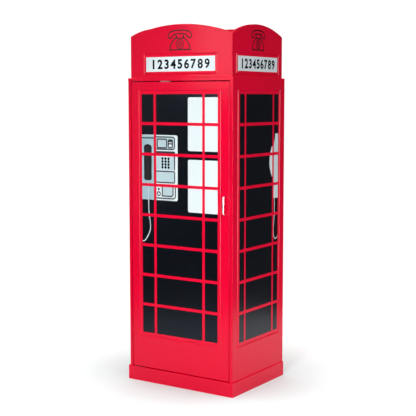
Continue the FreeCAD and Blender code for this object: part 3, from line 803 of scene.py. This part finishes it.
@dataclass
class Patterns:
    """The repeated shapes that several sub-assemblies share."""

    bars: Pattern = field(default_factory=bar_pattern)
    dots: Pattern = field(default_factory=grid_pattern)
    dial: Pattern = field(default_factory=dial_pattern)
    slots: Pattern = field(default_factory=cross_pattern)


# ---- sub-assemblies, their sizes in millimetres ----
@dataclass
class PrintedWindow:
    """A printed window on one side: a black field behind red glazing bars."""

    side: Side
    node: str
    body: str
    patterns: Patterns
    side_border: float = 12.9
    top_border: float = 12.9
    bottom_border: float = 14.9
    rows: int = 8
    row_bar: float = 11.4
    stile_bar: float = 11.4
    stile_offset: float = 113.0

    def __post_init__(self) -> None:
        """Finds the window's face and edges from its sheet."""
        low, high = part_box(self.node)
        self.face = self.side.face_of(self.node)
        self.half = self.side.half_width_of(self.node) - self.side_border
        self.bottom = low.z / MM + self.bottom_border
        self.top = high.z / MM - self.top_border
        self.prefix = self.node.split("_")[0]

    def print(self) -> Print:
        """A new print on the window's face."""
        return Print(self.face)

    def field(self) -> bpy.types.Object:
        """The black field of the panes.

        Returns:
            The piece.
        """
        outline = rounded((-self.half, self.half), (self.bottom, self.top))
        made = self.print().area(outline, Layer.PANE)
        return made.piece(f"{self.prefix}_window_field", Coat.BLACK_INK, self.body)

    def bars(self) -> bpy.types.Object:
        """The red bars over everything else in the window.

        Returns:
            The piece.
        """
        place = self.face.matrix() @ Matrix.Translation((0, (self.bottom + self.top) / 2, 0))
        sizes = {
            "Width": 2 * self.half, "Height": self.top - self.bottom, "Rows": self.rows,
            "Row bar": self.row_bar, "Stile offset": self.stile_offset, "Stile bar": self.stile_bar,
            "Thickness": Layer.BAR.top,
        }
        return self.patterns.bars.make(f"{self.prefix}_glazing_bars", sizes, Coat.RED_INK, self.body, place)

    def build(self) -> None:
        """Builds the field and the bars."""
        self.field()
        self.bars()


@dataclass
class Payphone:
    """The picture of a wall payphone and two notices, printed in the door's window."""

    window: PrintedWindow
    thin: float = 5.0           # width of the dark lines
    cradle_edge: float = -113.0     # between the cradle on the left and the modules on the right
    module_edge: float = -18.0      # the modules' right edge
    rim_edge: float = -6.0          # the white rim's right edge
    rim: Point = (730.0, 982.0)     # the rim's foot and top
    notice_edge: float = 41.7       # the notices' left edge
    notices_at: tuple[Point, Point] = ((924.0, 1126.0), (691.0, 891.0))
    button: Point = (-96.0, 773.0)
    coin_button: Point = (-96.0, 755.0)
    keys: Point = (-63.0, 874.8)

    def finish(self, made: Print, name: str, coat: Coat) -> None:
        """Ends one print of the picture."""
        made.piece(name, coat, self.window.body)

    def notices(self) -> None:
        """Two blank white notices that run off the window's edge."""
        sheets = self.window.print()
        for height in self.notices_at:
            outline = rounded((self.notice_edge, self.window.half), height, (7, 0, 0, 7))
            sheets.area(outline, Layer.PICTURE)
        self.finish(sheets, "door_notices", Coat.WHITE_INK)

    def housing(self) -> None:
        """The phone's pale housing with its white rim."""
        left = -self.window.half
        foot, top = self.rim
        rim = rounded((left, self.rim_edge), self.rim, (0, 8, 8, 0))
        self.finish(self.window.print().area(rim, Layer.PICTURE), "phone_rim", Coat.WHITE_INK)
        blue = self.window.print()
        for height in ((foot + 0.5, top - 10), (top - 11, top - 2)):
            blue.area(rounded((left, self.cradle_edge), height), Layer.OUTLINE)
        self.finish(blue, "phone_cradle_tray", Coat.BLUE_INK)

    def modules(self) -> None:
        """The outlined modules on the phone's right, from the display down to the coin return."""
        line = self.window.print()
        fill = self.window.print()
        left, right = self.cradle_edge, self.module_edge
        for height, radius in (((925, 977), 12), ((797, 845), 6)):
            line.area(rounded((left, right), height, (0, radius, radius, 0)), Layer.OUTLINE)
            inner = (height[0] + self.thin, height[1] - self.thin)
            smaller = max(radius - self.thin, 0.5)
            fill.area(rounded((left, right - self.thin), inner, (0, smaller, smaller, 0)), Layer.FILL)
        line.area(rounded((left, right), (911, 920), (0, 0, 5, 0)), Layer.OUTLINE)
        line.area([(-25, 911), (-23, 848), (right, 848), (right, 911)], Layer.OUTLINE)
        line.line([(-176, 969.5), (left, 969.5)], self.thin, Layer.FILL)
        line.line([(left, 738), (-26, 738), (-20, 741), (-17, 748), (-17, 790)], self.thin, Layer.OUTLINE)
        self.finish(line, "phone_outlines", Coat.LINE_INK)
        fill.area([(-107, 848), (-23, 848), (-25.5, 898), (-105, 898)], Layer.FILL)
        self.finish(fill, "phone_panels", Coat.PANEL_INK)

    def controls(self) -> None:
        """The display, the coin slot, the button and the coin return."""
        line = self.window.print()
        for outline in (
            rounded((-102, -58), (933, 966), 3),
            rounded((-50, -30), (934, 964), 6),
            ring(self.coin_button, 7),
        ):
            line.line(outline, self.thin, Layer.DETAIL, closed=True)
        line.line([(-50, 949), (-30, 949)], self.thin, Layer.MARK)
        line.area(rounded((-48, -32), (955, 963), (1, 1, 5, 5)), Layer.MARK)
        line.line([(-79, 790), (-79, 747), (-34, 747), (-28, 753), (-28, 790)], self.thin, Layer.DETAIL)
        self.finish(line, "phone_control_outlines", Coat.LINE_INK)
        white = self.window.print()
        white.area(ring((-40, 942), (6.5, 4.5)), Layer.DETAIL)
        white.area(rounded((-47, -33), (951, 955), 1), Layer.DETAIL)
        white.area(ring(self.coin_button, 5.6), Layer.DETAIL)
        self.finish(white, "phone_highlights", Coat.WHITE_INK)
        tray = rounded((-77, -30), (749, 790), (0, 5, 0, 0))
        self.finish(self.window.print().area(tray, Layer.FILL), "phone_coin_return", Coat.PANEL_INK)
        button = self.window.print().area(ring(self.button, 4.5), Layer.DETAIL)
        self.finish(button, "phone_button", Coat.BLACK_INK)

    def keypad(self) -> None:
        """The twelve black keys."""
        sizes = {"Columns": 3, "Rows": 4, "Width": 29.0, "Height": 33.5, "Radius": 5.2, "Depth": PLATE}
        place = self.window.face.matrix() @ Matrix.Translation((*self.keys, Layer.DETAIL.top))
        self.window.patterns.dots.make("phone_keys", sizes, Coat.BLACK_INK, self.window.body, place)

    def handset(self) -> None:
        """The black handset in its cradle, narrower at its middle."""
        left = [(-164.5, 808), (-166.5, 826), (-162.5, 860), (-161.5, 885), (-163, 905), (-167, 925),
                (-165, 939)]
        right = [(-131, 939), (-128.5, 925), (-132.5, 905), (-134.5, 885), (-133.5, 860), (-129.5, 826),
                 (-131.5, 808)]
        outline = smooth([*left, (-148, 945.5), *right, (-148, 804.5)], 6, closed=True)
        self.finish(self.window.print().area(outline, Layer.DETAIL), "phone_handset", Coat.HANDSET_INK)

    def cord(self) -> None:
        """The printed cord that hangs from the handset and leaves the window at its left."""
        path = smooth([(-146, 804), (-145, 770), (-144.5, 700), (-142, 665), (-137, 635), (-137.5, 612),
                       (-145, 594), (-156, 577), (-167, 566), (-175.5, 565)])
        new = self.window.print
        self.finish(new().line(path, CORD, Layer.DETAIL), "phone_cord_shade", Coat.GREY_INK)
        self.finish(new().line(path, CORD_LIGHT, Layer.MARK), "phone_cord_light", Coat.WHITE_INK)

    def build(self) -> None:
        """Builds the whole picture."""
        self.notices()
        self.housing()
        self.modules()
        self.controls()
        self.keypad()
        self.handset()
        self.cord()


@dataclass
class PhoneProfile:
    """The picture of the payphone from its side, printed at the rear of a side window."""

    window: PrintedWindow
    rearward: int               # 1 where u runs to the rear, -1 where it runs to the front
    cord_width: float = 4.6

    def place(self, points: Iterable[Point]) -> list[Point]:
        """Puts points given as (distance to the rear, height) on the window."""
        return [(self.rearward * y, z) for y, z in points]

    def build(self) -> None:
        """Builds the housing, the handset's edge and the hanging cord."""
        edge = self.window.half
        housing = self.place([(edge, 985), (120, 985), (118, 968), (110.5, 947), (108.5, 915), (108, 880),
                              (108, 731), (edge, 731)])
        crescent = self.place([(100, 936), (94.6, 936), (84.5, 916), (78, 892), (76, 873), (77.5, 858),
                               (81, 847), (89, 829), (96.5, 817), (100, 817)])
        cord = smooth(self.place([(117, 731), (117.5, 690), (116, 655), (111, 622), (110, 600), (113.5, 581),
                                  (123, 570), (134, 570), (edge - 0.3, 578)]))
        new = self.window.print
        for name, made, coat in (
            ("phone_profile", new().area(housing, Layer.PICTURE), Coat.TEAL_INK),
            ("handset_profile", new().area(crescent, Layer.PICTURE), Coat.WHITE_INK),
            ("cord_profile", new().line(cord, self.cord_width, Layer.PICTURE), Coat.GREY_INK),
            ("cord_light", new().line(cord, CORD_LIGHT, Layer.OUTLINE), Coat.WHITE_INK),
        ):
            made.piece(f"{self.window.prefix}_{name}", coat, self.window.body)


@dataclass
class HeaderFace:
    """One decorated face of the header: a sign with a row of dial numbers and a telephone emblem over it."""

    side: Side
    sign_node: str
    patterns: Patterns
    plate_half: float = 159.0
    row_half: float = 139.0
    digit_height: float = 36.0
    digit_fill: float = 0.88        # how much of its share of the row a wide digit takes
    digits: str = "123456789"
    emblem_half: float = 54.0
    emblem_drawn: float = 54.0      # half the width that the emblem's points are given for
    plate_border: float = 9.0       # the red margin over and under the white plate
    plate_radius: float = 0.5
    emblem_gap: float = 14.0        # from the sign's sheet up to the emblem
    stroke: float = 4.6
    dial_height: float = 23.0       # from the emblem's foot up to the dial's middle
    dial_rings: tuple[tuple[float, float, int], ...] = (    # radius, width of the line and points
        (17.0, 3.2, 32), (6.0, 2.8, 20),
    )

    def __post_init__(self) -> None:
        """Finds the sign's face and edges from its sheet."""
        low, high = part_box(self.sign_node)
        self.face = self.side.face_of(self.sign_node)
        self.low = low.z / MM
        self.high = high.z / MM
        self.prefix = self.sign_node.split("_")[0]

    def plate(self) -> None:
        """The white plate."""
        height = (self.low + self.plate_border, self.high - self.plate_border)
        outline = rounded((-self.plate_half, self.plate_half), height, self.plate_radius)
        Print(self.face).area(outline, Layer.PANE).piece(f"{self.prefix}_sign_plate", Coat.WHITE_INK, "root")

    def digit(self, digit: str) -> bpy.types.Mesh:
        """One digit in a plain bold face.

        Args:
            digit: The digit.

        Returns:
            Its mesh, in the font's own units, as thick as one unit and a bevel.
        """
        curve = bpy.data.curves.new(f"digit_{digit}", "FONT")
        curve.body = digit
        curve.offset = 0.02         # bolder than the font
        curve.bevel_depth = 0.016
        curve.bevel_resolution = 0
        curve.extrude = 0.5
        writer = stand(f"digit_{digit}", curve)
        graph = bpy.context.evaluated_depsgraph_get()
        data = bpy.data.meshes.new_from_object(writer.evaluated_get(graph))
        bpy.data.objects.remove(writer)
        return data

    def numbers(self) -> None:
        """The numbers 1 to 9 in one row, as on a dial, each fitted to its own share of the row."""
        share = 2 * self.row_half / len(self.digits)
        middle = (self.low + self.high) / 2
        made = bmesh.new()
        for place, digit in enumerate(self.digits):
            data = self.digit(digit)
            low, high = (Vector(f(v.co[i] for v in data.vertices) for i in range(3)) for f in (min, max))
            size = high - low
            height = self.digit_height / size.y
            width = height if digit == "1" else min(height, share * self.digit_fill / size.x)
            scale = Matrix.Diagonal((width, height, PLATE / size.z, 1.0))
            centre = Vector(((place + 0.5) * share - self.row_half, middle, Layer.PICTURE.top - PLATE / 2))
            data.transform(Matrix.Translation(centre) @ scale @ Matrix.Translation(-(low + high) / 2))
            made.from_mesh(data)
            bpy.data.meshes.remove(data)
        made.transform(self.face.matrix())
        bmesh.ops.remove_doubles(made, verts=made.verts[:], dist=1e-7)
        bmesh.ops.recalc_face_normals(made, faces=made.faces[:])
        name = f"{self.prefix}_sign_numbers"
        settle(name, mesh_of(name, made), Coat.BLACK_INK, "root")

    def emblem(self) -> None:
        """A dial telephone in thin lines: handset, cradle, body and dial."""
        wide = self.emblem_half / self.emblem_drawn
        base = self.high + self.emblem_gap

        def at(points: Iterable[Point]) -> list[Point]:
            """Puts points over the emblem's foot."""
            return [(u * wide, base + v) for u, v in points]

        lines = Print(self.face)
        body = at([(-47, 2), (47, 2), (43, 20), (33, 34), (22, 45), (-22, 45), (-33, 34), (-43, 20)])
        lines.line(body, self.stroke, Layer.PANE, closed=True)
        dial = (0.0, base + self.dial_height)
        for radius, width, count in self.dial_rings:
            lines.line(ring(dial, (radius * wide, radius), count), width, Layer.OUTLINE, closed=True)
        over = [(-53, 49), (-52, 60), (-42, 69), (-22, 74), (0, 75.5), (22, 74), (42, 69), (52, 60), (53, 49)]
        under = [(44, 46), (35, 50), (30, 58), (14, 61.5), (-14, 61.5), (-30, 58), (-35, 50), (-44, 46)]
        lines.line(smooth(at(over + under), 4, closed=True), self.stroke, Layer.OUTLINE, closed=True)
        for u in (-16, 16):
            lines.area(at([(u - 4, 46), (u + 4, 46), (u + 3, 57), (u - 3, 57)]), Layer.FILL)
        lines.piece(f"{self.prefix}_emblem_lines", Coat.EMBLEM_INK, "root")
        place = self.face.matrix() @ Matrix.Translation((0, dial[1], Layer.PANE.top))
        place = place @ Matrix.Diagonal((wide, 1.0, 1.0, 1.0))
        holes = {"Holes": 10, "Circle": 11.0, "Radius": 2.0, "Depth": 2 * INK_STEP}
        self.patterns.dial.make(f"{self.prefix}_emblem_holes", holes, Coat.EMBLEM_INK, "root", place)

    def build(self) -> None:
        """Builds the plate, the numbers and the emblem."""
        self.plate()
        self.numbers()
        self.emblem()


@dataclass
class Hardware:
    """Driver slots on the screw heads that can be seen, which all look to the rear, drawn as dark blocks:
    painted shade of the recesses.
    """

    patterns: Patterns
    depth: float = 0.3
    slenderness: float = 0.22   # a slot's width as a share of its length
    back_head: float = 6.0      # diameter of a back panel screw's head
    back_slot: float = 3.6      # length of its slot
    handle_head: float = 8.0
    handle_slot: float = 5.0

    def slots(self, node: str, grid: tuple[int, int], span: Point, length: float, body: str) -> None:
        """Puts crossed slots on a grid of screw heads.

        Args:
            node: The screws' CAD node.
            grid: Columns and rows.
            span: Width and height between the outer screws' middles.
            length: Length of one slot.
            body: The body the screws ride on.
        """
        low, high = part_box(node)
        middle = (low + high) / 2
        place = Matrix.Translation((middle.x, high.y, middle.z)) @ Matrix.Rotation(math.radians(90), 4, "X")
        sizes = {
            "Columns": grid[0], "Rows": grid[1], "Width": span[0], "Height": span[1], "Length": length,
            "Slot": length * self.slenderness, "Depth": self.depth,
        }
        # the slots take the dark ferrite colour: painted shade of the recesses in the zinc heads
        self.patterns.slots.make(f"{node}_slots", sizes, Coat.FERRITE_AND_SLOT_SHADE, body, place @ Matrix.Scale(MM, 4))

    def build(self) -> None:
        """Builds the slots of the back panel's and the handle's screws."""
        low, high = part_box("back_panel_screws")
        span = ((high.x - low.x) / MM - self.back_head, (high.z - low.z) / MM - self.back_head)
        self.slots("back_panel_screws", (2, 5), span, self.back_slot, "root")
        low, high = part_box("handle_screws")
        span = (0.0, (high.z - low.z) / MM - self.handle_head)
        self.slots("handle_screws", (1, 2), span, self.handle_slot, "door")


@dataclass
class Carcass:
    """The boards, sheets and fittings that the CAD model carries, each given its finish."""

    printed: tuple[str, ...] = (
        "door_print_panel", "left_print_panel", "right_print_panel",
        "front_sign_panel", "left_sign_panel", "right_sign_panel",
    )
    dark: tuple[str, ...] = ("pivot_washers",)

    def coat_of(self, node: str, slot: str) -> Coat:
        """The finish of a CAD node.

        Args:
            node: The node.
            slot: Its slot in the record.

        Returns:
            The first finish that belongs to the slot.
        """
        if node in self.printed:
            return Coat.RED_INK
        if node in self.dark:
            return Coat.BLACK_NYLON
        return next(coat for coat in Coat if coat.slot == slot)

    def build(self) -> None:
        """Dresses every CAD node."""
        slots = {part["node"]: part["material_slot"] for part in frame["record"]["subparts"]}
        for node, thing in frame["nodes"].items():
            coat = self.coat_of(node, slots[node])
            thing.data.materials.clear()
            thing.data.materials.append(coat.material())
        log.info("carcass: %d nodes dressed", len(slots))


# ---- studio ----
class Shine(Enum):
    """How a lamp shows in shiny surfaces."""

    FULL = "lights and is reflected"
    NONE = "lights and is not reflected"
    ONLY = "is only reflected"


@dataclass(frozen=True)
class Lamp:
    """One soft lamp: a far soft light where size is None, or else a flat panel of that size."""

    name: str
    place: tuple[float, float, float]
    target: tuple[float, float, float]
    power: float
    size: Point | None = None
    shine: Shine = Shine.FULL
    angle: float = 40.0

    def build(self) -> None:
        """Adds the lamp."""
        light = bpy.data.lights.new(self.name, "SUN" if self.size is None else "AREA")
        light.energy = self.power
        if self.size is None:
            light.angle = math.radians(self.angle)
        else:
            light.shape = "RECTANGLE"
            light.size, light.size_y = self.size
        lamp = stand(self.name, light)
        lamp.visible_camera = False
        lamp.visible_glossy = self.shine is not Shine.NONE
        lamp.visible_diffuse = self.shine is not Shine.ONLY
        lamp.location = self.place
        way = Vector(self.target) - Vector(self.place)
        lamp.rotation_euler = way.to_track_quat("-Z", "Y").to_euler()


@dataclass
class Studio:
    """The pale floor, the soft light and the camera."""

    floor_radius: float = 1.45
    floor_painted_shade_colours: tuple[str, str] = ("#cfdddd", "#ffffff")     # painted shade near the cabinet, a cool grey that cancels the red light bounced off the cabinet, and white away from it
    floor_painted_shade_fade: Point = (0.2, 0.75)       # where the floor's painted shade starts and ends its fade into white
    camera_place: tuple[float, float, float] = (2.2018, -3.3076, 1.1212)
    yaw: float = 33.587
    pitch: float = -6.233
    lens: float = 86.74
    sensor: float = 36.0
    world_light: float = 0.08
    backdrop: float = 1.05
    lamps: tuple[Lamp, ...] = (
        Lamp("overhead_light", (0.0, 0.0, 6.0), (0.0, 0.0, 0.0), 3.35, angle=90.0),
        Lamp("front_panel", (0.6, -1.4, 1.0), (0.1, -0.19, 0.95), 10.0, (0.26, 0.6), Shine.NONE),
        Lamp("upper_panel", (-0.3, -1.9, 1.9), (0.0, -0.2, 1.3), 4.3, (0.7, 0.5), Shine.NONE),
        Lamp("side_panel", (3.0, 0.5, 1.4), (0.2, 0.0, 1.1), 10.5, (1.0, 2.0), Shine.NONE),
        Lamp("header_card", (-0.42, -1.15, 1.42), (0.18, -0.2, 1.32), 2.6, (0.3, 0.5), Shine.ONLY),
        Lamp("left_card", (-3.0, -2.9, 1.6), (0.0, 0.0, 0.9), 9.0, (1.5, 3.0), Shine.ONLY),
        Lamp("strip_card", (2.4, -1.5, 1.2), (0.2, -0.1, 1.0), 130.0, (0.9, 2.4), Shine.ONLY),
        Lamp("camera_card", (3.6, -5.4, 1.6), (0.0, 0.0, 0.9), 80.0, (6.0, 4.0), Shine.ONLY),
    )

    def floor(self) -> None:
        """A round pale floor, with painted shade near the cabinet: a cool grey that cancels the red light the
        cabinet bounces onto it.
        """
        rim = [(u, v, 0.0) for u, v in ring((0.0, 0.0), self.floor_radius, 96)]
        data = bpy.data.meshes.new("floor")
        data.from_pydata(rim, [], [tuple(range(len(rim)))])
        recipe = Recipe("pale_studio_floor_with_painted_shade")
        away = add_node(recipe.tree, "ShaderNodeVectorMath", {"operation": "LENGTH"}, {0: recipe.place})
        # painted shade: the colour fades from the cool grey near the cabinet to white away from it
        spread = recipe.remap(away.outputs["Value"], self.floor_painted_shade_fade)
        data.materials.append(recipe.finish({
            "Base Color": recipe.blend(spread, *self.floor_painted_shade_colours),
            "Roughness": 0.9,
            "Specular IOR Level": 0.1,
        }))
        floor = stand("floor", data)

    def world(self) -> None:
        """A white backdrop that lights the cabinet less than it shows."""
        world = bpy.data.worlds.new("studio")
        bpy.context.scene.world = world
        world.use_nodes = True
        tree = world.node_tree
        tree.nodes.clear()
        path = add_node(tree, "ShaderNodeLightPath")
        level = add_node(tree, "ShaderNodeMapRange", inputs={
            "Value": path.outputs["Is Camera Ray"], "To Min": self.world_light, "To Max": self.backdrop,
        })
        glow = add_node(tree, "ShaderNodeBackground", inputs={
            "Color": (1.0, 1.0, 1.0, 1.0), "Strength": level.outputs["Result"],
        })
        add_node(tree, "ShaderNodeOutputWorld", inputs={"Surface": glow.outputs["Background"]})

    def camera(self) -> None:
        """The camera, a little over the cabinet's middle and to its right."""
        data = bpy.data.cameras.new("camera")
        data.lens = self.lens
        data.sensor_width = self.sensor
        camera = stand("camera", data)
        camera.location = self.camera_place
        camera.rotation_euler = (math.radians(90 + self.pitch), 0.0, math.radians(self.yaw))
        bpy.context.scene.camera = camera

    def build(self) -> None:
        """Builds the studio."""
        self.floor()
        self.world()
        self.camera()
        for lamp in self.lamps:
            lamp.build()
        bpy.context.scene.view_settings.view_transform = "Standard"
        log.info("studio: %d lamps", len(self.lamps))


def main() -> None:
    """Builds the cabinet's looks around the frame."""
    patterns = Patterns()
    Studio().build()
    Carcass().build()
    door = PrintedWindow(Side.FRONT, "door_print_panel", "door", patterns)
    door.build()
    Payphone(door).build()
    for side, node, rearward in ((Side.RIGHT, "right_print_panel", 1), (Side.LEFT, "left_print_panel", -1)):
        window = PrintedWindow(side, node, "root", patterns, stile_bar=10.5, stile_offset=104.0)
        window.build()
        PhoneProfile(window, rearward).build()
    HeaderFace(Side.FRONT, "front_sign_panel", patterns).build()
    for side, node in ((Side.RIGHT, "right_sign_panel"), (Side.LEFT, "left_sign_panel")):
        HeaderFace(side, node, patterns, plate_half=146.0, row_half=128.0, emblem_half=49.0).build()
    Hardware(patterns).build()


if __name__ == "__main__":
    main()
